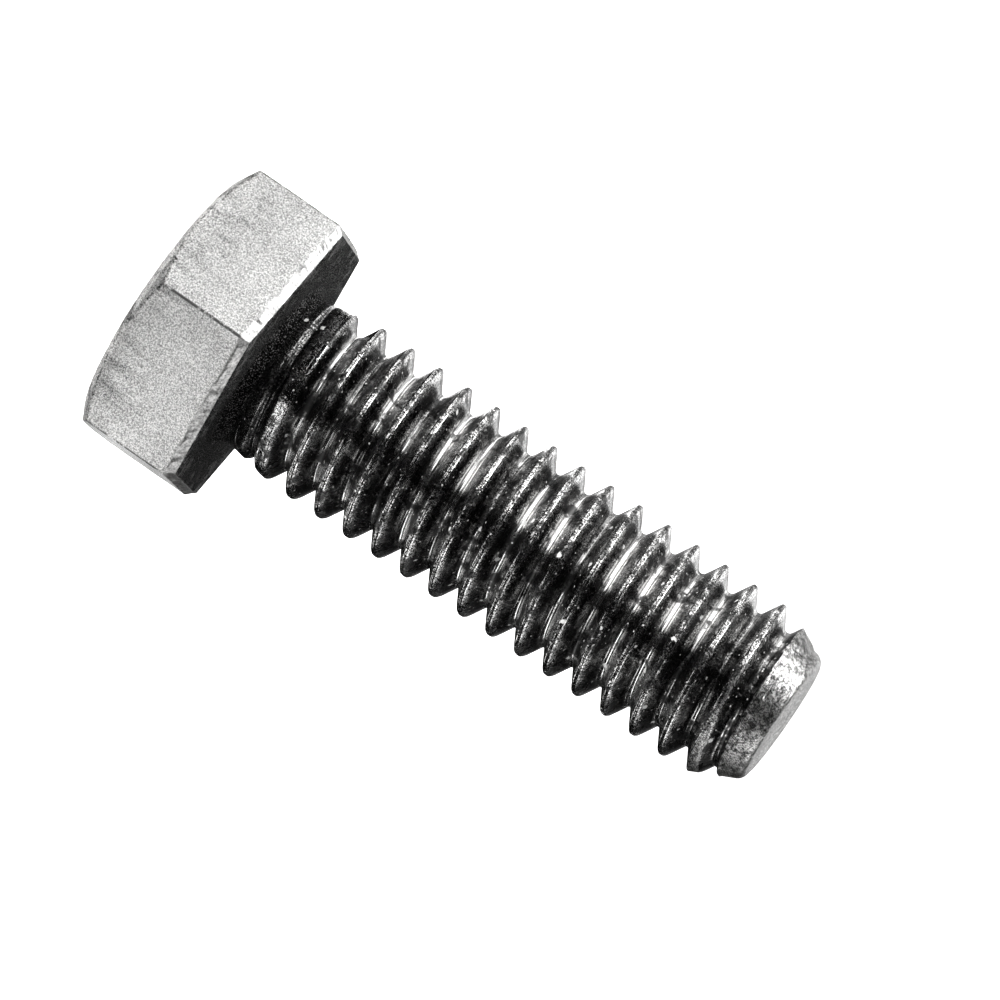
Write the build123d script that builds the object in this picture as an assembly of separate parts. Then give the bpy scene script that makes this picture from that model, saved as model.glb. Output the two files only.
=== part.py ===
from build123d import *

import math
import os

# Hex-head tap bolt, 5/16-18 UNC x 1 in, threaded along its whole shank. Millimetres.
#
# Frame: the origin is the centre of the head's bearing face, +Z runs along the
# shank to the point, and the head hangs below the origin. Two of the head's
# corners lie on the Y axis and two of its flats face +X and -X.
#
# The bolt is one forging. It is divided where one feature ends and the next
# begins: the hex head with its fillet, the threaded shank, and the chamfered
# point. The three meet face to face and never move.

# ---- driving dimensions ----
LENGTH = 25.4                    # bearing face to the end of the point
PITCH = 25.4 / 18                # 18 threads per inch
MAJOR_DIAMETER = 7.80            # over the crests
BLANK_DIAMETER = 7.00            # the rolled blank, left as it was under the head

ACROSS_FLATS = 12.30
HEAD_HEIGHT = 4.98
TOP_FACE_SHARE = 0.95            # circle on the head's top face / across flats
TOP_CHAMFER_ANGLE = 30.0         # from the top face
BEARING_BEVEL_DEPTH = 0.40       # along the axis, on the trimmed lower edges
BEARING_BEVEL_WIDTH = 0.32       # square to each flat
FILLET_RADIUS = 0.45             # between the neck and the bearing face
NECK_LENGTH = 0.55               # where the head node ends and the shank begins

POINT_LENGTH = 2.18              # where the chamfer starts, back from the end
POINT_END_RADIUS = 2.84
POINT_EDGE_RADIUS = 0.45         # rounding between chamfer and end face

# ---- thread form: 60 degree unified thread with a rounded root ----
HALF_ANGLE = math.radians(30)
CREST_FLAT = PITCH / 8
ROOT_ROUNDING = 0.144 * PITCH
MAJOR_RADIUS = MAJOR_DIAMETER / 2
BLANK_RADIUS = BLANK_DIAMETER / 2
SHARP_DEPTH = (PITCH - CREST_FLAT) / 2 / math.tan(HALF_ANGLE)
THREAD_DEPTH = SHARP_DEPTH - ROOT_ROUNDING * (1 / math.sin(HALF_ANGLE) - 1)
GROOVE_ROOT_RADIUS = MAJOR_RADIUS - THREAD_DEPTH

# ---- where the thread and the point lie along the shank ----
POINT_START = LENGTH - POINT_LENGTH
FULL_THREAD_START = 2.0 * PITCH  # crests reach the major diameter here
GROOVE_START = 2.35              # height of the groove's centre where it is full depth
GROOVE_START_ANGLE = 180.0       # its angle about +Z there, from +X
RUNOUT_TURNS = 1.1               # below that height it fades out over these turns
RUNOUT_RISE = 0.55               # and its root climbs this far in each of them
CUTTER_MARGIN = 0.08             # the groove's cutter stands this far outside the crests


def turned(outline):
    """The solid that this closed outline of (radius, height) makes about the Z axis."""
    return revolve(Plane.XZ * make_face(outline), Axis.Z)


def head_envelope():
    """The turned form of the head: a disc with the 30 degree top chamfer."""
    outside = ACROSS_FLATS
    top_radius = TOP_FACE_SHARE * ACROSS_FLATS / 2
    rise = (outside - top_radius) * math.tan(math.radians(TOP_CHAMFER_ANGLE))
    return turned(
        Polyline(
            (0, -HEAD_HEIGHT),
            (top_radius, -HEAD_HEIGHT),
            (outside, -HEAD_HEIGHT + rise),
            (outside, 0),
            (0, 0),
            close=True,
        )
    )


def hexagon(across_flats, height):
    """A hexagon across the Z axis, with corners on the Y axis."""
    outline = RegularPolygon(across_flats / 2, 6, major_radius=False, rotation=30)
    return Plane.XY.offset(height) * outline


def neck():
    """The short plain neck and the fillet between it and the bearing face."""
    foot_radius = BLANK_RADIUS + FILLET_RADIUS
    return turned(
        Curve()
        + [
            Polyline((BLANK_RADIUS, FILLET_RADIUS), (BLANK_RADIUS, NECK_LENGTH), (0, NECK_LENGTH),
                     (0, -FILLET_RADIUS), (foot_radius, -FILLET_RADIUS), (foot_radius, 0)),
            CenterArc((foot_radius, FILLET_RADIUS), FILLET_RADIUS, 180, 90),
        ]
    )


def hex_head():
    """Hex head with its top chamfer, bevelled bearing edge, fillet and short neck."""
    foot = hexagon(ACROSS_FLATS, -BEARING_BEVEL_DEPTH)
    bearing = hexagon(ACROSS_FLATS - 2 * BEARING_BEVEL_WIDTH, 0)
    prism = extrude(foot, -(HEAD_HEIGHT - BEARING_BEVEL_DEPTH), dir=(0, 0, 1))
    bevel = loft([foot, bearing])
    return ((prism + bevel) & head_envelope()) + neck()


def shank_blank():
    """The shank before its groove: it widens from the neck to the major diameter."""
    return turned(
        Polyline(
            (0, NECK_LENGTH),
            (BLANK_RADIUS, NECK_LENGTH),
            (MAJOR_RADIUS, FULL_THREAD_START),
            (MAJOR_RADIUS, POINT_START),
            (0, POINT_START),
            close=True,
        )
    )


def point_blank():
    """The point before its groove: a chamfer down to an end face with a rounded edge."""
    cone = turned(
        Polyline(
            (0, POINT_START),
            (MAJOR_RADIUS, POINT_START),
            (POINT_END_RADIUS, LENGTH),
            (0, LENGTH),
            close=True,
        )
    )
    return fillet(cone.edges().sort_by(Axis.Z)[-1], POINT_EDGE_RADIUS)


def groove_profile():
    """One thread groove's section, in the XZ plane with its centre at height 0.
    It is a 60 degree V with a rounded root, open outside the crests."""
    mouth = MAJOR_RADIUS + CUTTER_MARGIN
    half_mouth = (mouth - MAJOR_RADIUS + SHARP_DEPTH) * math.tan(HALF_ANGLE)
    tangent_radius = GROOVE_ROOT_RADIUS + ROOT_ROUNDING * (1 - math.sin(HALF_ANGLE))
    tangent_height = ROOT_ROUNDING * math.cos(HALF_ANGLE)
    outline = Curve() + [
        Polyline((tangent_radius, -tangent_height), (mouth, -half_mouth), (mouth, half_mouth),
                 (tangent_radius, tangent_height)),
        ThreePointArc((tangent_radius, tangent_height), (GROOVE_ROOT_RADIUS, 0),
                      (tangent_radius, -tangent_height)),
    ]
    return Plane.XZ * make_face(outline)


def groove_cutters():
    """The full-depth groove, from its start to past the end of the point, and the
    run-out that leads from the same start back towards the head, climbing out."""
    start = Pos(0, 0, GROOVE_START) * Rot(0, 0, GROOVE_START_ANGLE)
    full_height = LENGTH - GROOVE_START + PITCH
    full_path = Helix(PITCH, full_height, GROOVE_ROOT_RADIUS)
    taper = math.degrees(math.atan(RUNOUT_RISE / PITCH))
    runout_path = Rot(180, 0, 0) * Helix(
        PITCH, RUNOUT_TURNS * PITCH, GROOVE_ROOT_RADIUS, cone_angle=taper
    )
    return [start * sweep(groove_profile(), path, is_frenet=True)
            for path in (full_path, runout_path)]


def threaded(blank):
    """This blank with the thread groove cut into it."""
    for cutter in groove_cutters():
        blank = blank - cutter
    return blank


def build_parts():
    """Every sub-part, by its node name."""
    return {
        "hex_head": hex_head(),
        "threaded_shank": threaded(shank_blank()),
        "chamfered_point": threaded(point_blank()),
    }


if __name__ == "__main__":
    os.makedirs("parts", exist_ok=True)
    for name, solid in build_parts().items():
        solid.label = name
        export_step(solid, f"parts/{name}.step")
        print(name, "volume", round(solid.volume, 2), "faces", len(solid.faces()))
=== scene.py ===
"""Looks of the hex bolt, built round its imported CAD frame. Metres, +Z along the shank."""

import math
import random

import bmesh
import bpy
import numpy as np
from mathutils import Matrix, Vector, noise


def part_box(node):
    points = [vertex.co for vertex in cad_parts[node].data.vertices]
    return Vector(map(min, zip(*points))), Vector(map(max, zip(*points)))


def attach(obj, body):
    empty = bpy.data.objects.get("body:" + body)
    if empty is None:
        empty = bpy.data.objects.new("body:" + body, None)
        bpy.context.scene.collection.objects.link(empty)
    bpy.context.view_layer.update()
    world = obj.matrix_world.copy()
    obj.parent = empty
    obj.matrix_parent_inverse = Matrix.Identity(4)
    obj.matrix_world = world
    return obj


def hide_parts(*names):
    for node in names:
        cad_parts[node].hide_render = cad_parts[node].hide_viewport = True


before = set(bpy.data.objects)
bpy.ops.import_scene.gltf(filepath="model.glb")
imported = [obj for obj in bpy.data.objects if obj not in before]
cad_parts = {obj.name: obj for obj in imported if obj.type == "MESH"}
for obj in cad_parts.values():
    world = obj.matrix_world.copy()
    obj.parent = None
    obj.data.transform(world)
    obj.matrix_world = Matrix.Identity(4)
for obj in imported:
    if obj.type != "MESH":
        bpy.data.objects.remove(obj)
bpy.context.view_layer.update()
MM = 0.001
SEED = 18

# ---- sizes, from the frame and from the thread standard ----
head_low, head_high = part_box("hex_head")
shank_low, shank_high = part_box("threaded_shank")
point_low, point_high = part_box("chamfered_point")

HEAD_TOP = head_low.z                      # the head's top face, its lowest level
NECK_END = shank_low.z                     # where the head meets the threaded shank
POINT_START = point_low.z
LENGTH = point_high.z
FLAT_RADIUS = head_high.x                  # from the axis to a flat
CORNER_RADIUS = head_high.y
MAJOR_RADIUS = shank_high.x

PITCH = 25.4 / 18 * MM
HALF_ANGLE = math.radians(30)
CREST_FLAT = PITCH / 8
ROOT_ROUNDING = 0.144 * PITCH
BLANK_RADIUS = 3.50 * MM                   # the neck, and the shank before rolling
SHARP_DEPTH = (PITCH - CREST_FLAT) / 2 / math.tan(HALF_ANGLE)
THREAD_DEPTH = SHARP_DEPTH - ROOT_ROUNDING * (1 / math.sin(HALF_ANGLE) - 1)
ROOT_RADIUS = MAJOR_RADIUS - THREAD_DEPTH
GROOVE_START = 2.35 * MM                   # a groove's centre, at the angle below
GROOVE_START_ANGLE = math.pi
FULL_THREAD_START = 2 * PITCH
RUNOUT_RISE = 0.55 * MM                    # the root climbs this far a turn, below the start

TOP_FACE_SHARE = 0.95
TOP_CHAMFER = math.tan(math.radians(30))
BEVEL_DEPTH = 0.40 * MM
BEVEL_WIDTH = 0.32 * MM
FILLET_RADIUS = 0.45 * MM
POINT_END_RADIUS = 2.84 * MM               # of the cone, if its edge weren't rounded
POINT_SLOPE = (MAJOR_RADIUS - POINT_END_RADIUS) / (LENGTH - POINT_START)
POINT_EDGE_RADIUS = 0.45 * MM


# ---- small helpers ----
def smooth_min(a, b, radius):
    """The lesser of a and b, with the corner between them rounded over about this radius."""
    h = np.clip(0.5 + 0.5 * (b - a) / radius, 0, 1)
    return b + (a - b) * h - radius * h * (1 - h)


def fractal(points, scale, octaves=3, offset=0.0):
    """Fractal noise at each point, about -1 to 1. scale is the size of its largest bumps."""
    shift = Vector((offset, offset * 0.7, offset * 1.3))
    flat = points.reshape(-1, 3)
    values = [noise.fractal(Vector(p) / scale + shift, 0.9, 2.0, octaves) for p in flat]
    return np.array(values).reshape(points.shape[:-1])


def around(radius, angle, z):
    """Points at these radii, angles and heights."""
    radius, angle, z = np.broadcast_arrays(radius, angle, z)
    return np.stack([radius * np.cos(angle), radius * np.sin(angle), z], axis=-1)


def new_object(name, vertices, faces):
    """A mesh object in the scene."""
    mesh = bpy.data.meshes.new(name)
    mesh.from_pydata([tuple(v) for v in vertices], [], faces)
    mesh.update()
    made = bpy.data.objects.new(name, mesh)
    bpy.context.scene.collection.objects.link(made)
    return made


def shade(made, angle):
    """Smooth shading, but with edges sharper than this angle left crisp."""
    made.data.polygons.foreach_set("use_smooth", [True] * len(made.data.polygons))
    made.data.set_sharp_from_angle(angle=math.radians(angle))


# ---- the thread's surface, as a radius for each angle and height ----
def groove_radius(offset, rise):
    """A groove's radius at this height from its centre, with its root raised by rise."""
    z = np.abs(offset)
    tangent = ROOT_ROUNDING * math.cos(HALF_ANGLE)
    arc = ROOT_ROUNDING - np.sqrt(np.maximum(ROOT_ROUNDING**2 - np.minimum(z, tangent)**2, 0))
    flank = np.maximum(z - tangent, 0) / math.tan(HALF_ANGLE)
    return ROOT_RADIUS + rise + arc + flank


def blank_radius(z):
    """The shank's outside: the neck widens to the full crests over the first turns."""
    share = np.clip((z - NECK_END) / (FULL_THREAD_START - NECK_END), 0, 1)
    return BLANK_RADIUS + (MAJOR_RADIUS - BLANK_RADIUS) * share


def thread_radius(angle, z, outside, crest_rounding):
    """The threaded surface, with the run-out under the head."""
    turns = (angle - GROOVE_START_ANGLE) / (2 * math.pi)
    nearest = np.round((z - GROOVE_START) / PITCH - turns)
    radius = outside
    for step in (-1, 0, 1):
        centre = GROOVE_START + (nearest + step + turns) * PITCH
        rise = RUNOUT_RISE * np.maximum(GROOVE_START - centre, 0) / PITCH
        radius = smooth_min(radius, groove_radius(z - centre, rise), crest_rounding)
    return radius


def helix_grid(low, high, columns, rows):
    """Angles and heights of a grid whose rows run along the thread, from low to high and
    a little past both. rows are places in the pitch, from the groove's centre."""
    first = math.floor((low - GROOVE_START) / PITCH) - 1
    last = math.ceil((high - GROOVE_START) / PITCH) + 1
    levels = np.array([k + r for k in range(first, last) for r in rows])
    angle = np.arange(columns) / columns * 2 * math.pi
    turns = (angle - GROOVE_START_ANGLE) / (2 * math.pi)
    z = GROOVE_START + (levels[:, None] + turns[None, :]) * PITCH
    return np.broadcast_to(angle, z.shape), z


def thread_rows(flank_steps):
    """Places of the grid's rows in one pitch: close together at the root and the crest."""
    tangent = ROOT_ROUNDING * math.cos(HALF_ANGLE) / PITCH
    edge = 0.5 - CREST_FLAT / PITCH / 2
    side = [0.35 * tangent, 0.7 * tangent, tangent]
    side += [tangent + (edge - 0.03 - tangent) * (i + 1) / flank_steps for i in range(flank_steps)]
    side += [edge - 0.01, edge + 0.015, 0.483]
    return sorted([-s for s in side] + [0.0] + side + [0.5])


def helix_mesh(name, low, high, columns, rows, radius_at):
    """The side of a solid, from radius_at(angle, z), running a little past low and high, with its
    ends left open.
    """
    angle, z = helix_grid(low, high, columns, rows)
    count = len(z)
    per_turn = len(rows)
    vertices = around(radius_at(angle, z), angle, z).reshape(-1, 3)
    index = np.arange(count * columns).reshape(count, columns)
    faces = []
    for k in range(count - 1):
        for i in range(columns - 1):
            faces.append((index[k, i], index[k, i + 1],
                          index[k + 1, i + 1], index[k + 1, i]))
        # the last column meets the first one pitch further along
        if k + per_turn + 1 < count:
            faces.append((index[k, -1], index[k + per_turn, 0],
                          index[k + per_turn + 1, 0], index[k + 1, -1]))
    return new_object(name, vertices, faces)


def rim_at(mesh, height):
    """The open edges that lie at this height."""
    return [e for e in mesh.edges
            if e.is_boundary and all(abs(v.co.z - height) < 1e-7 for v in e.verts)]


def close_ends(made, low, high, high_rings):
    """Cuts a mesh square to the axis at both heights and closes it. high_rings are radii
    and heights of circles that lead from the upper rim to the middle of its face."""
    mesh = bmesh.new()
    mesh.from_mesh(made.data)
    for height, side in ((low, -1), (high, 1)):
        bmesh.ops.bisect_plane(
            mesh, geom=mesh.verts[:] + mesh.edges[:] + mesh.faces[:], dist=1e-9,
            plane_co=(0, 0, height), plane_no=(0, 0, side), clear_outer=True,
        )
    bmesh.ops.contextual_create(mesh, geom=rim_at(mesh, low))
    rim = rim_at(mesh, high)
    for radius, height in high_rings:
        grown = bmesh.ops.extrude_edge_only(mesh, edges=rim)["geom"]
        for vertex in (g for g in grown if isinstance(g, bmesh.types.BMVert)):
            angle = math.atan2(vertex.co.y, vertex.co.x)
            vertex.co = (radius * math.cos(angle), radius * math.sin(angle), height)
        rim = [g for g in grown if isinstance(g, bmesh.types.BMEdge)]
    bmesh.ops.contextual_create(mesh, geom=rim)
    bmesh.ops.recalc_face_normals(mesh, faces=mesh.faces[:])
    mesh.to_mesh(made.data)
    mesh.free()


# ---- wear: unevenness all over, a seam along the crest, and nicks in it ----
SHANK_CREST_ROUNDING = 0.08 * MM
POINT_CREST_ROUNDING = 0.06 * MM
SHANK_NICKS = 150
POINT_NICKS = 16
EVEN_END = 0.8 * MM                        # the chamfer isn't ragged this near its end


def crest_share(radius):
    """0 at the root and 1 at the crest."""
    return np.clip((radius - ROOT_RADIUS) / THREAD_DEPTH, 0, 1)


def crest_seam(angle, z, radius):
    """The fine fold that rolling leaves along the middle of the crest, in places."""
    turns = (angle - GROOVE_START_ANGLE) / (2 * math.pi)
    phase = (z - GROOVE_START) / PITCH - turns
    middle = np.abs(phase - np.floor(phase) - 0.5) * PITCH
    places = 0.5 + 0.8 * fractal(around(radius, angle, z), 2.4 * MM, 2, offset=40.0)
    depth = 0.012 * MM * np.clip(places, 0, 1)
    return depth * np.exp(-(middle / (0.02 * MM))**2)


def nicks(angle, z, count, seed):
    """Depth of the small dents where the crests have been knocked."""
    draw = random.Random(seed)
    depth = np.zeros_like(z)
    for _ in range(count):
        nick_angle = draw.uniform(0, 2 * math.pi)
        turn = draw.randint(0, 17) + 0.5 + draw.uniform(-0.07, 0.07)
        nick_z = GROOVE_START + (turn + (nick_angle - GROOVE_START_ANGLE) / (2 * math.pi)) * PITCH
        length = draw.uniform(0.05, 0.22) * MM
        width = draw.uniform(0.05, 0.13) * MM
        deepest = draw.uniform(0.02, 0.07) * MM
        along = (np.mod(angle - nick_angle + math.pi, 2 * math.pi) - math.pi) * MAJOR_RADIUS
        near = np.exp(-(along / length)**2 - ((z - nick_z) / width)**2)
        depth = np.maximum(depth, deepest * near)
    return depth


def worn(angle, z, radius, nick_count, seed):
    """Radius after rolling and handling: a little uneven, more so at the crests."""
    points = around(radius, angle, z)
    share = crest_share(radius)
    waves = 0.010 * MM * fractal(points, 1.6 * MM, 2, offset=seed)
    ripples = 0.003 * MM * fractal(points, 0.28 * MM, 2, offset=seed + 9.0)
    knocked = nicks(angle, z, nick_count, seed) * share**2
    uneven = (waves + ripples) * (0.35 + 0.65 * share)
    return radius + uneven - crest_seam(angle, z, radius) - knocked


def shank_radius(angle, z):
    """The shank's thread, as worn."""
    radius = thread_radius(angle, z, blank_radius(z), SHANK_CREST_ROUNDING)
    return worn(angle, z, radius, SHANK_NICKS, SEED)


def point_cone(z):
    """The radius of the point's chamfer at this height."""
    return MAJOR_RADIUS - POINT_SLOPE * (z - POINT_START)


def point_radius(angle, z):
    """The thread cut down by the point's cone, whose start is ragged where it was turned."""
    ragged = 0.03 * MM * fractal(around(MAJOR_RADIUS, angle, z), 0.6 * MM, 3, offset=70.0)
    cone = np.minimum(point_cone(z) + ragged * (z < LENGTH - EVEN_END), MAJOR_RADIUS)
    radius = thread_radius(angle, z, cone, POINT_CREST_ROUNDING)
    return worn(angle, z, radius, POINT_NICKS, SEED + 1)


def point_rings():
    """Circles from the cone over its rounded edge and across the turned end face."""
    slope_angle = math.atan(POINT_SLOPE)
    reach = POINT_EDGE_RADIUS * math.tan((math.pi / 2 - slope_angle) / 2)
    flat_radius = POINT_END_RADIUS - reach
    centre = LENGTH - POINT_EDGE_RADIUS
    rings = []
    edge_steps = 8
    for step in range(1, edge_steps + 1):
        turn = slope_angle + (math.pi / 2 - slope_angle) * step / edge_steps
        rings.append((flat_radius + POINT_EDGE_RADIUS * math.cos(turn),
                      centre + POINT_EDGE_RADIUS * math.sin(turn)))
    face_steps = 26
    for step in range(1, face_steps):
        share = 1 - step / face_steps
        lift = 0.012 * MM * (step % 2) + 0.05 * MM * (1 - share)**2
        rings.append((flat_radius * share, LENGTH - lift))
    start = centre + POINT_EDGE_RADIUS * math.sin(slope_angle)
    return start, rings


# ---- the head, as rings of vertices from the middle of its top face to the neck ----
TOP_FACE_SHARES = (0.02, 0.08, 0.15, 0.22, 0.3, 0.38, 0.46, 0.54, 0.62, 0.7, 0.78, 0.85, 0.91,
                   0.96, 0.99)             # radii of the rings on the top face
BEARING_STEPS = 25                         # from the bevel in to the fillet
FILLET_STEPS = 8
VERTICES_PER_FLAT = 112


def hexagon_radius(angle, rounding):
    """Distance from the axis to the six flats, with the corners rounded."""
    sextant = math.pi / 3
    offset = np.abs(angle - np.round(angle / sextant) * sextant)
    flat = FLAT_RADIUS / np.cos(offset)
    beyond = FLAT_RADIUS / np.cos(sextant - offset)
    return smooth_min(flat, beyond, rounding)


def head_angles(per_flat):
    """Angles round the head, closer together at the corners."""
    steps = np.arange(per_flat) / per_flat
    eased = steps - 0.10 * np.sin(2 * math.pi * steps)
    return np.concatenate([(k - 0.5 + eased) * math.pi / 3 for k in range(6)])


def jagged(angle, offset):
    """The ragged line that trimming leaves along the head's lower edge, -1 to 1."""
    points = around(CORNER_RADIUS, angle, 0.0)
    coarse = fractal(points, 1.3 * MM, 2, offset=offset)
    fine = fractal(points, 0.42 * MM, 2, offset=offset + 5.0)
    return np.tanh(2.2 * (0.7 * coarse + 0.8 * fine))


def bevel_chips(angle, height):
    """Pieces broken out of the head's lower edge: angle, height, length, width and depth."""
    chips = (                              # degrees, then millimetres
        (math.radians(-31.0), -0.42, 0.30, 0.28, 0.16),
        (math.radians(-47.0), -0.40, 0.14, 0.14, 0.07),
        (math.radians(-104.0), -0.46, 0.20, 0.10, 0.05),
        (math.radians(38.0), -0.40, 0.30, 0.20, 0.09),
        (math.radians(161.0), -0.44, 0.22, 0.16, 0.08),
    )
    depth = np.zeros_like(angle)
    for at, level, length, width, deepest in chips:
        along = (angle - at) * FLAT_RADIUS / (length * MM)
        across = (height - level * MM) / (width * MM)
        depth = np.maximum(depth, deepest * MM * np.exp(-along**4 - across**4))
    return depth


def head_side_rings(angle):
    """Radius and height of the rings up the head's flats, from the top face to the bevel."""
    hexagon = hexagon_radius(angle, 0.09 * MM)
    top_radius = TOP_FACE_SHARE * FLAT_RADIUS
    chamfer_height = (CORNER_RADIUS - top_radius) * TOP_CHAMFER
    full = -HEAD_TOP
    levels = list(np.linspace(0, 1.15 * chamfer_height, 26))
    levels += list(np.linspace(1.3 * chamfer_height, full - BEVEL_DEPTH - 0.25 * MM, 34))
    levels += list(np.linspace(full - BEVEL_DEPTH - 0.20 * MM, full, 22))
    outer = 0.075 * MM * jagged(angle, 3.0)
    rings = []
    for level in levels:
        z = HEAD_TOP + level
        grain = 0.012 * MM * fractal(around(hexagon, angle, z), 2.6 * MM, 3, offset=11.0)
        cone = top_radius + level / TOP_CHAMFER + 0.03 * MM * jagged(angle, 21.0)
        bevel_line = FLAT_RADIUS - BEVEL_WIDTH - z / BEVEL_DEPTH * BEVEL_WIDTH
        fade = np.clip(-z / (0.25 * MM), 0, 1)
        bevel = (bevel_line + outer * fade) * hexagon / FLAT_RADIUS
        radius = smooth_min(smooth_min(hexagon + grain, cone, 0.07 * MM), bevel, 0.03 * MM)
        rings.append((radius - bevel_chips(angle, z), np.full_like(angle, z)))
    return rings


def head_rings(angle):
    """Every ring of the head: its top face, its side, its bearing face, fillet and neck."""
    side = head_side_rings(angle)
    top_radius = side[0][0]
    rings = []
    for share in TOP_FACE_SHARES:
        dish = 0.03 * MM * (1 - share**2)**2
        rings.append((top_radius * share, np.full_like(angle, HEAD_TOP + dish)))
    rings += side
    edge = side[-1][0]
    foot = BLANK_RADIUS + FILLET_RADIUS
    for share in np.linspace(0, 1, BEARING_STEPS + 1)[1:-1]:
        radius = edge + (foot - edge) * share
        inside = math.sin(math.pi * share)
        z = 0.010 * MM * inside * fractal(around(radius, angle, 0.0), 0.7 * MM, 3, offset=31.0)
        rings.append((radius, z - 0.008 * MM * inside))
    for turn in np.linspace(0, math.pi / 2, FILLET_STEPS + 1):
        radius = foot - FILLET_RADIUS * math.sin(turn)
        rings.append((np.full_like(angle, radius),
                      np.full_like(angle, FILLET_RADIUS * (1 - math.cos(turn)))))
    rings.append((np.full_like(angle, BLANK_RADIUS), np.full_like(angle, NECK_END)))
    return rings


def head_mesh():
    """The whole head, closed at the middle of its top face and of its neck's end."""
    angle = head_angles(VERTICES_PER_FLAT)
    rings = head_rings(angle)
    n = len(angle)
    vertices = [(0, 0, float(rings[0][1][0]))]
    vertices += [tuple(p) for radius, z in rings for p in around(radius, angle, z)]
    vertices.append((0, 0, NECK_END))
    last = len(vertices) - 1
    faces = []
    for i in range(n):
        after = (i + 1) % n
        faces.append((0, 1 + after, 1 + i))
        for k in range(len(rings) - 1):
            low, high = 1 + k * n, 1 + (k + 1) * n
            faces.append((low + i, low + after, high + after, high + i))
        high = 1 + (len(rings) - 1) * n
        faces.append((last, high + i, high + after))
    return new_object("bolt_head", vertices, faces)


# ---- materials. Their numbers are millimetres, or bumps and cells a millimetre ----
TURNED_FEED = 0.085                        # between the point's turned lines


class Nodes:
    """A material's node tree, with short ways to add nodes in millimetres."""

    def __init__(self, name):
        self.material = bpy.data.materials.new(name)
        self.material.use_nodes = True
        self.tree = self.material.node_tree
        self.shader = self.tree.nodes["Principled BSDF"]
        place = self.tree.nodes.new("ShaderNodeTexCoord")
        self.place = self.scaled(place.outputs["Object"], (1000, 1000, 1000))

    def link(self, value, socket):
        """Links a node's output to a socket, or sets the socket to a plain value."""
        if isinstance(value, bpy.types.NodeSocket):
            self.tree.links.new(value, socket)
        elif value is not None:
            socket.default_value = value

    def scaled(self, vector, scale):
        """The vector with each of its parts multiplied by its own factor."""
        made = self.tree.nodes.new("ShaderNodeMapping")
        self.link(vector, made.inputs["Vector"])
        made.inputs["Scale"].default_value = scale
        return made.outputs["Vector"]

    def math(self, operation, a, b=None, c=None):
        """One arithmetic operation on nodes' outputs or plain values."""
        made = self.tree.nodes.new("ShaderNodeMath")
        made.operation = operation
        for value, socket in zip((a, b, c), made.inputs):
            self.link(value, socket)
        return made.outputs[0]

    def noise(self, scale, detail=3.0, roughness=0.6, place=None):
        """Noise from 0 to 1, with this many bumps a millimetre."""
        made = self.tree.nodes.new("ShaderNodeTexNoise")
        self.link(place or self.place, made.inputs["Vector"])
        made.inputs["Scale"].default_value = scale
        made.inputs["Detail"].default_value = detail
        made.inputs["Roughness"].default_value = roughness
        return made.outputs["Fac"]

    def step(self, value, low, high, from_value=0.0, to_value=1.0):
        """Maps value from low..high to from_value..to_value, smoothly and clamped."""
        made = self.tree.nodes.new("ShaderNodeMapRange")
        made.interpolation_type = "SMOOTHSTEP"
        self.link(value, made.inputs["Value"])
        made.inputs["From Min"].default_value = low
        made.inputs["From Max"].default_value = high
        made.inputs["To Min"].default_value = from_value
        made.inputs["To Max"].default_value = to_value
        return made.outputs["Result"]

    def flecks(self, scale, low, high):
        """1 in small ragged spots, this many cells a millimetre, and 0 elsewhere."""
        made = self.tree.nodes.new("ShaderNodeTexVoronoi")
        self.link(self.place, made.inputs["Vector"])
        made.inputs["Scale"].default_value = scale
        ragged = self.step(self.noise(7.0 * scale), 0.2, 0.8, -0.05, 0.05)
        return self.step(self.math("ADD", made.outputs["Distance"], ragged), low, high, 1.0, 0.0)

    def blend(self, share, a, b):
        """a where share is 0, b where it is 1."""
        made = self.tree.nodes.new("ShaderNodeMix")
        made.data_type = "FLOAT"
        self.link(share, made.inputs[0])
        self.link(a, made.inputs[2])
        self.link(b, made.inputs[3])
        return made.outputs[0]

    def grey(self, value, warm=0.985):
        """A nearly neutral colour of this brightness."""
        made = self.tree.nodes.new("ShaderNodeCombineColor")
        self.link(value, made.inputs[0])
        self.link(self.math("MULTIPLY", value, 0.995), made.inputs[1])
        self.link(self.math("MULTIPLY", value, warm), made.inputs[2])
        return made.outputs[0]

    def cylinder(self):
        """Distance from the axis in millimetres, angle in radians, and height."""
        parts = self.tree.nodes.new("ShaderNodeSeparateXYZ")
        self.link(self.place, parts.inputs[0])
        x, y, z = parts.outputs
        squares = self.math("ADD", self.math("MULTIPLY", x, x), self.math("MULTIPLY", y, y))
        return self.math("SQRT", squares), self.math("ARCTAN2", y, x), z

    def combine(self, x, y, z):
        """A vector of these three parts."""
        made = self.tree.nodes.new("ShaderNodeCombineXYZ")
        for value, socket in zip((x, y, z), made.inputs):
            self.link(value, socket)
        return made.outputs[0]

    def bump(self, height, depth_mm, before=None):
        """A bump whose full height is depth_mm, on top of another bump."""
        made = self.tree.nodes.new("ShaderNodeBump")
        made.inputs["Distance"].default_value = depth_mm * MM
        self.link(height, made.inputs["Height"])
        self.link(before, made.inputs["Normal"])
        return made.outputs["Normal"]

    def finish(self, colour, metallic, roughness, normal):
        """Links the shader's sockets and gives back the material."""
        self.link(colour, self.shader.inputs["Base Color"])
        self.link(metallic, self.shader.inputs["Metallic"])
        self.link(roughness, self.shader.inputs["Roughness"])
        self.link(normal, self.shader.inputs["Normal"])
        return self.material


def drag_marks(n, z):
    """1 in the dark streaks along the flats, which fade out away from the head's top."""
    streaks = n.noise(1.0, 3.0, 0.6, n.scaled(n.place, (1.5, 1.5, 0.28)))
    places = n.step(n.noise(0.45), 0.42, 0.54)
    near_top = n.math("MULTIPLY", n.step(z, -4.2, -1.6, 1.0, 0.0), places)
    return n.math("MULTIPLY", n.step(streaks, 0.46, 0.66), near_top)


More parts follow.
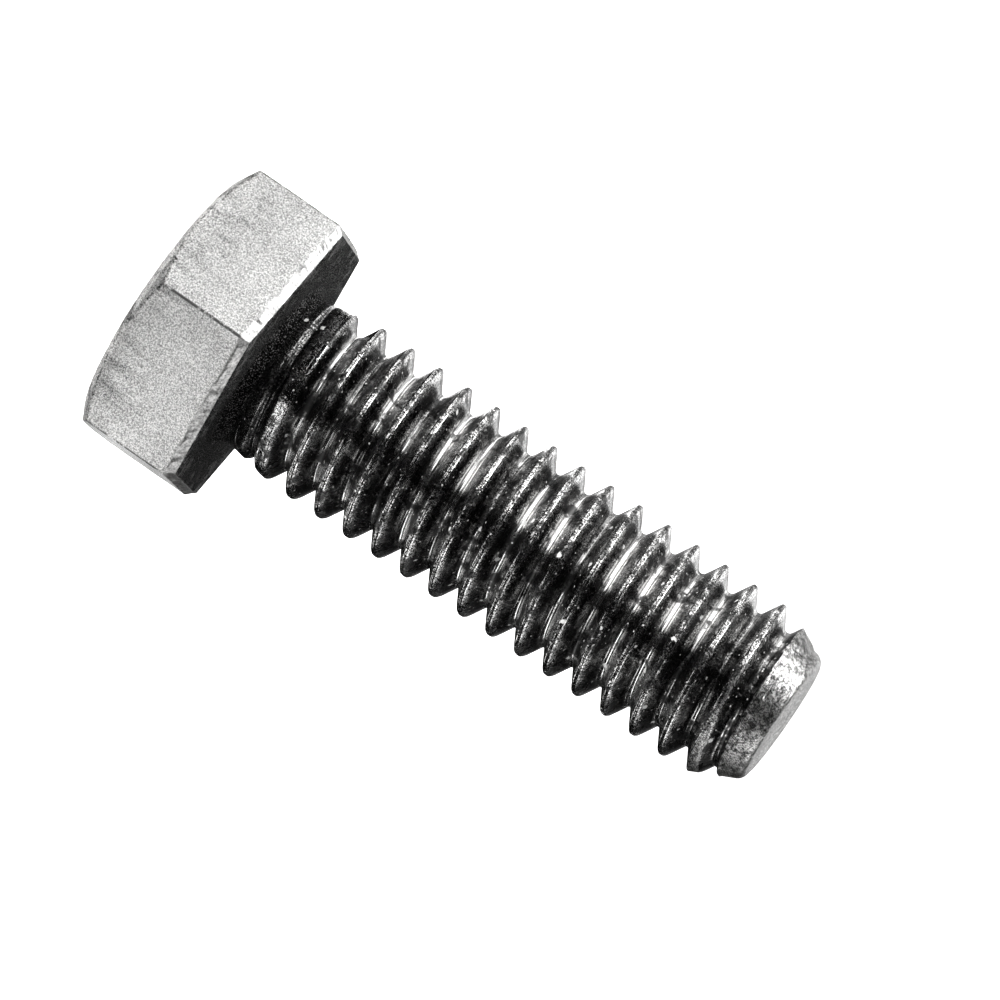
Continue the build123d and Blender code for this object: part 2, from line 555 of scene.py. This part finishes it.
def on_chamfer(n, radius, z):
    """1 on the head's 30 degree top chamfer."""
    start = TOP_FACE_SHARE * FLAT_RADIUS * TOP_CHAMFER - HEAD_TOP
    height = n.math("MULTIPLY_ADD", radius, TOP_CHAMFER, n.math("MULTIPLY", z, -1.0))
    away = n.math("ABSOLUTE", n.math("SUBTRACT", height, start / MM))
    return n.step(away, 0.04, 0.12, 1.0, 0.0)


def rubbed_corners(n, radius, angle):
    """1 where the plating is rubbed off the head's six corners."""
    sextant = n.math("MULTIPLY", angle, 3 / math.pi)
    from_corner = n.math("ABSOLUTE", n.math("SUBTRACT", n.math("FRACT", sextant), 0.5))
    corner = n.math("MULTIPLY", n.step(from_corner, 0.005, 0.011, 1.0, 0.0),
                    n.step(radius, 6.5, 6.9))
    return n.math("MULTIPLY", corner, n.step(n.noise(3.5), 0.38, 0.50))


def plated_zinc():
    """Matte zinc on the forged head: fine bright grain, drag marks near the top, corners
    rubbed to darker steel, a bright trimmed bevel and painted shade on the bearing face."""
    n = Nodes("plated_zinc")
    radius, angle, z = n.cylinder()
    grain = n.noise(15.0, 2.0, 0.85)
    cloud = n.noise(0.55, 4.0, 0.6)
    value = n.math("ADD", n.step(grain, 0.40, 0.60, 0.38, 0.94),
                   n.step(cloud, 0.3, 0.7, -0.05, 0.05))
    for mask, change in (
        (drag_marks(n, z), -0.26),
        (on_chamfer(n, radius, z), -0.30),
        (n.flecks(2.6, 0.10, 0.17), -0.22),
        (n.flecks(0.42, 0.030, 0.045), 0.60),
    ):
        value = n.math("ADD", value, n.math("MULTIPLY", mask, change))
    rubbed = rubbed_corners(n, radius, angle)
    value = n.blend(rubbed, value, 0.16)
    roughness = n.math("ADD", n.step(n.noise(4.0), 0.3, 0.7, 0.50, 0.64),
                       n.math("MULTIPLY", rubbed, -0.2))

    bevel_top = -BEVEL_DEPTH / MM
    trimmed = n.math("MULTIPLY", n.step(z, bevel_top - 0.05, bevel_top + 0.04),
                     n.step(z, -0.06, -0.02, 1.0, 0.0))
    value = n.blend(trimmed, value, n.step(n.noise(9.0, 2.0, 0.7), 0.3, 0.7, 0.25, 0.70))
    roughness = n.blend(trimmed, roughness, 0.42)
    metallic = n.blend(trimmed, 0.55, 1.0)

    # painted shade on the bearing face under the head: darkest by the shank and fading towards the
    # corners, made rough and non-metallic there so it stays dark
    under_head_shade_strength = n.math("ADD", n.step(radius, 4.2, 7.0, 1.1, 0.94),
                    n.step(n.noise(1.2, 4.0, 0.7), 0.35, 0.65, -0.15, 0.15))
    painted_shade_under_head = n.math("MULTIPLY", n.step(z, -0.06, -0.02), under_head_shade_strength)
    value = n.blend(painted_shade_under_head, value, n.step(grain, 0.54, 0.64, 0.0, 0.24))
    roughness = n.blend(painted_shade_under_head, roughness, 0.9)
    metallic = n.blend(painted_shade_under_head, metallic, 0.0)

    normal = n.bump(n.noise(13.0, 3.0, 0.8), 0.010)
    normal = n.bump(cloud, 0.03, normal)
    n.shader.inputs["Specular IOR Level"].default_value = 0.12
    return n.finish(n.grey(value), metallic, roughness, normal)


def turned_lines(n, radius, z):
    """Where the point was turned, 0 to 1, and the fine ridges there, -1 to 1."""
    on_cone = n.math("ADD", radius, n.math("MULTIPLY", z, POINT_SLOPE))
    cone_level = (MAJOR_RADIUS + POINT_SLOPE * POINT_START) / MM
    end = LENGTH / MM
    turned = n.math("MAXIMUM", n.step(on_cone, cone_level - 0.10, cone_level - 0.05),
                    n.step(z, end - 0.28, end - 0.22))
    across = n.math("SUBTRACT", z, n.math("MULTIPLY", radius, 0.9))
    waver = n.math("MULTIPLY", n.noise(0.8), 0.10)
    phase = n.math("MULTIPLY", n.math("ADD", across, waver), 2 * math.pi / TURNED_FEED)
    return turned, n.math("MULTIPLY", n.math("SINE", phase), turned)


def rolled_steel(name, machined):
    """Oily rolled thread: polished roots, worn crests, dirt, grit, and bright specks.
    machined adds the point's fine turned lines."""
    n = Nodes(name)
    radius, angle, z = n.cylinder()
    root = ROOT_RADIUS / MM
    crest = MAJOR_RADIUS / MM
    turn_place = n.combine(n.math("MULTIPLY", angle, 3.5), radius, z)
    lines = n.noise(1.0, 4.0, 0.7, n.scaled(turn_place, (0.7, 9.0, 11.0)))
    speckle = n.noise(14.0, 2.0, 0.85)

    grit = n.step(speckle, 0.42, 0.62, 0.05, 2.0)
    edge = n.math("MULTIPLY", n.step(radius, crest - 0.40, crest - 0.10),
                  n.step(radius, crest - 0.05, crest - 0.01, 1.0, 0.45))
    value = n.math("ADD", n.blend(edge, 0.20, 0.74), n.step(lines, 0.3, 0.7, -0.10, 0.10))
    value = n.math("MULTIPLY", value, grit)
    along_root = n.noise(1.0, 3.0, 0.6, n.scaled(turn_place, (0.22, 2.0, 2.0)))
    polished = n.math("MULTIPLY", n.step(radius, root + 0.035, root + 0.165, 1.0, 0.0),
                      n.step(along_root, 0.40, 0.55))
    value = n.blend(polished, value, 0.95)
    dirt = n.step(n.noise(1.1, 4.0, 0.65), 0.50, 0.60, 0.0, 0.85)
    value = n.blend(dirt, value, 0.015)
    specks = n.math("MAXIMUM", n.flecks(0.9, 0.09, 0.11), n.flecks(2.6, 0.09, 0.12))
    value = n.blend(specks, value, 0.95)

    roughness = n.blend(dirt, n.step(speckle, 0.35, 0.65, 0.10, 0.24), 0.45)
    metallic = n.blend(specks, n.blend(dirt, 1.0, 0.9), 0.2)
    relief = lines
    if machined:
        turned, ridge = turned_lines(n, radius, z)
        bare = n.math("ADD", n.step(speckle, 0.40, 0.60, 0.05, 0.75),
                      n.math("MULTIPLY", ridge, 0.20))
        stain = n.step(n.noise(2.6, 5.0, 0.8), 0.46, 0.60)
        stained = n.blend(stain, bare, n.math("MULTIPLY", bare, 0.25))
        value = n.blend(turned, value, stained)
        roughness = n.blend(turned, roughness, 0.34)
        metallic = n.blend(turned, metallic, 0.95)
        relief = n.blend(turned, lines, n.math("MULTIPLY", ridge, 0.5))
    normal = n.bump(relief, 0.004)
    normal = n.bump(speckle, 0.002, normal)
    return n.finish(n.grey(value), metallic, roughness, normal)


# ---- the three pieces ----
SHANK_COLUMNS = 256
SHANK_FLANK_STEPS = 4
POINT_COLUMNS = 384
POINT_FLANK_STEPS = 6
CRISP_ANGLE = 40


def build_pieces():
    """The head, the shank and the point, each in place of its CAD node."""
    head = head_mesh()
    head.data.materials.append(plated_zinc())
    shank = helix_mesh("bolt_shank", NECK_END, POINT_START, SHANK_COLUMNS,
                       thread_rows(SHANK_FLANK_STEPS), shank_radius)
    close_ends(shank, NECK_END, POINT_START, [])
    shank.data.materials.append(rolled_steel("rolled_thread_steel", machined=False))
    point = helix_mesh("bolt_point", POINT_START, LENGTH, POINT_COLUMNS,
                       thread_rows(POINT_FLANK_STEPS), point_radius)
    edge_start, rings = point_rings()
    close_ends(point, POINT_START, edge_start, rings)
    point.data.materials.append(rolled_steel("turned_point_steel", machined=True))
    for piece, node, slot in (
        (head, "hex_head", "plated_head"),
        (shank, "threaded_shank", "rolled_thread"),
        (point, "chamfered_point", "rolled_thread"),
    ):
        shade(piece, CRISP_ANGLE)
        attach(piece, "root")
        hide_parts(node)


# ---- camera ----
CAMERA_DISTANCE = 320 * MM
SENSOR = 36.0
LENS = 285.3                               # millimetres, as the sensor's width is
AZIMUTH = math.radians(2.74)
ELEVATION = math.radians(7.6)
ROLL = math.radians(124.61)
AIM_HEIGHT = 10.89 * MM
AIM_SIDE = -0.86 * MM


def photo_camera():
    """A long lens, looking square at the shank with its point a little nearer."""
    data = bpy.data.cameras.new("camera")
    data.lens = LENS
    data.sensor_width = SENSOR
    data.clip_start = 0.01
    data.clip_end = 20.0
    made = bpy.data.objects.new("camera", data)
    bpy.context.scene.collection.objects.link(made)
    back = Vector((math.sin(AZIMUTH) * math.cos(ELEVATION),
                   -math.cos(AZIMUTH) * math.cos(ELEVATION), math.sin(ELEVATION)))
    side = Vector((math.cos(AZIMUTH), math.sin(AZIMUTH), 0))
    up = back.cross(side)
    right = side * math.cos(ROLL) + up * math.sin(ROLL)
    top = back.cross(right)
    aim = Vector((0, 0, AIM_HEIGHT)) + side * AIM_SIDE
    turn = Matrix((right, top, back)).transposed().to_4x4()
    made.matrix_world = Matrix.Translation(aim + back * CAMERA_DISTANCE) @ turn
    bpy.context.scene.camera = made


# ---- studio ----
FLOOR_REACH = 3.0
FLOOR_GAP = 0.02 * MM                      # the floor lies this far below the head
FLOOR_TONE = 0.85
FLOOR_GLOW = 0.95
WALL_DISTANCE = 1.2
WALL_HEIGHT = 1.2
WALL_GLOW = 1.1
CARD_GAP = 0.3 * MM                        # the cards lie this far above the head's top level
LIGHT_DISTANCE = 0.25
LIGHT_AIM = 10 * MM                        # height that the soft boxes face

# where each card starts and ends, in degrees from -Y towards +X, how near to the axis and
# how far from it it reaches, in metres, and how much it glows
CARDS = (
    ("foot_card", -180, 180, 0.0056, 0.008, 0.30),
    ("front_card", -8, 30, 0.008, 1.5, 0.0),
    ("right_card", 30, 132, 0.017, 0.040, 0.0),
    ("right_far_card", 30, 132, 0.085, 1.5, 0.0),
    ("back_card", 132, 180, 0.014, 1.5, 0.0),
    ("left_card", -180, -8, 0.008, 0.028, 0.0),
    ("left_back_card", -180, -115, 0.05, 0.5, 0.30),
)
# each soft box's azimuth and elevation in degrees, width and height in metres, and radiance
SOFT_BOXES = (
    ("key", -58, 22, 0.30, 0.20, 0.65),
    ("back", -165, 20, 0.12, 0.10, 0.8),
    ("rim", -88, 56, 0.14, 0.14, 7.0),
    ("fill", 105, 52, 0.34, 0.18, 1.3),
)
WORLD_DARK = 0.01
WORLD_BRIGHT = 0.55
BRIGHT_SIDE = Vector((-0.95, 0.2, 0.0)).normalized()
SIDE_EDGE = (0.0, 0.4)                     # where the bright side fades in, as a cosine
CEILING_EDGE = (0.75, 0.95)                # where it fades out overhead, as a sine


def plain_material(name, value, glow):
    """A matte grey of this tone, which also glows white."""
    made = bpy.data.materials.new(name)
    made.use_nodes = True
    shader = made.node_tree.nodes["Principled BSDF"]
    shader.inputs["Base Color"].default_value = (value, value, value, 1)
    shader.inputs["Roughness"].default_value = 0.9
    shader.inputs["Specular IOR Level"].default_value = 0.0
    shader.inputs["Emission Color"].default_value = (1, 1, 1, 1)
    shader.inputs["Emission Strength"].default_value = glow
    return made


def floor():
    """A pale floor that glows like a light table, so the bolt casts hardly any shadow on it."""
    reach = FLOOR_REACH
    z = HEAD_TOP - FLOOR_GAP
    corners = [(-reach, -reach, z), (reach, -reach, z), (reach, reach, z), (-reach, reach, z)]
    made = new_object("floor", corners, [(0, 1, 2, 3)])
    made.data.materials.append(plain_material("pale_floor", FLOOR_TONE, FLOOR_GLOW))


def backdrop():
    """A white wall all round, far off, which only the camera sees."""
    steps = 48
    turns = [2 * math.pi * i / steps for i in range(steps)]
    ring = [(WALL_DISTANCE * math.cos(t), WALL_DISTANCE * math.sin(t)) for t in turns]
    vertices = [(x, y, HEAD_TOP) for x, y in ring] + [(x, y, WALL_HEIGHT) for x, y in ring]
    faces = [(i, (i + 1) % steps, steps + (i + 1) % steps, steps + i) for i in range(steps)]
    made = new_object("backdrop", vertices, faces)
    made.data.materials.append(plain_material("white_backdrop", 0.0, WALL_GLOW))
    made.visible_diffuse = False
    made.visible_glossy = False
    made.visible_shadow = False


def card(name, start, end, near, far, glow):
    """A black or grey card by the floor, seen only in the metal's reflections."""
    steps = 24
    vertices = []
    for step in range(steps + 1):
        azimuth = math.radians(start + (end - start) * step / steps)
        for radius in (near, far):
            vertices.append((radius * math.sin(azimuth), -radius * math.cos(azimuth),
                             HEAD_TOP + CARD_GAP))
    faces = [(2 * step, 2 * step + 1, 2 * step + 3, 2 * step + 2) for step in range(steps)]
    made = new_object(name, vertices, faces)
    made.data.materials.append(plain_material(name, 0.0, glow))
    made.visible_camera = False
    made.visible_diffuse = False
    made.visible_shadow = False


def soft_box(name, azimuth, elevation, width, height, radiance):
    """A rectangular soft light that faces the bolt, and that the camera doesn't see."""
    data = bpy.data.lights.new(name, "AREA")
    data.shape = "RECTANGLE"
    data.size = width
    data.size_y = height
    data.energy = radiance * math.pi * width * height
    made = bpy.data.objects.new(name, data)
    bpy.context.scene.collection.objects.link(made)
    az, el = math.radians(azimuth), math.radians(elevation)
    away = Vector((math.sin(az) * math.cos(el), -math.cos(az) * math.cos(el), math.sin(el)))
    made.location = Vector((0, 0, LIGHT_AIM)) + away * LIGHT_DISTANCE
    made.rotation_euler = away.to_track_quat("Z", "Y").to_euler()
    made.visible_camera = False


def fade(tree, value, edge, levels):
    """Maps value smoothly from one level to the other between the two edges."""
    made = tree.nodes.new("ShaderNodeMapRange")
    made.interpolation_type = "SMOOTHSTEP"
    made.inputs["From Min"].default_value, made.inputs["From Max"].default_value = edge
    made.inputs["To Min"].default_value, made.inputs["To Max"].default_value = levels
    tree.links.new(value, made.inputs["Value"])
    return made.outputs["Result"]


def studio_world():
    """A plain surround, bright on one side up to the ceiling's edge, and dark elsewhere."""
    world = bpy.data.worlds.new("studio")
    world.use_nodes = True
    tree = world.node_tree
    background = tree.nodes["Background"]
    background.inputs["Color"].default_value = (1, 1, 1, 1)
    place = tree.nodes.new("ShaderNodeTexCoord")
    parts = tree.nodes.new("ShaderNodeSeparateXYZ")
    side = tree.nodes.new("ShaderNodeVectorMath")
    side.operation = "DOT_PRODUCT"
    side.inputs[1].default_value = BRIGHT_SIDE
    tree.links.new(place.outputs["Generated"], side.inputs[0])
    tree.links.new(place.outputs["Generated"], parts.inputs[0])
    across = fade(tree, side.outputs["Value"], SIDE_EDGE, (0.0, WORLD_BRIGHT - WORLD_DARK))
    level = fade(tree, parts.outputs["Z"], CEILING_EDGE, (1.0, 0.0))
    strength = tree.nodes.new("ShaderNodeMath")
    strength.operation = "MULTIPLY_ADD"
    strength.inputs[2].default_value = WORLD_DARK
    tree.links.new(across, strength.inputs[0])
    tree.links.new(level, strength.inputs[1])
    tree.links.new(strength.outputs[0], background.inputs["Strength"])
    bpy.context.scene.world = world


def studio():
    """Floor, wall, surround, cards and lights, shown with a contrasty look."""
    floor()
    backdrop()
    studio_world()
    for row in CARDS:
        card(*row)
    for row in SOFT_BOXES:
        soft_box(*row)
    bpy.context.scene.view_settings.view_transform = "Standard"
    bpy.context.scene.view_settings.look = "Medium High Contrast"


build_pieces()
photo_camera()
studio()
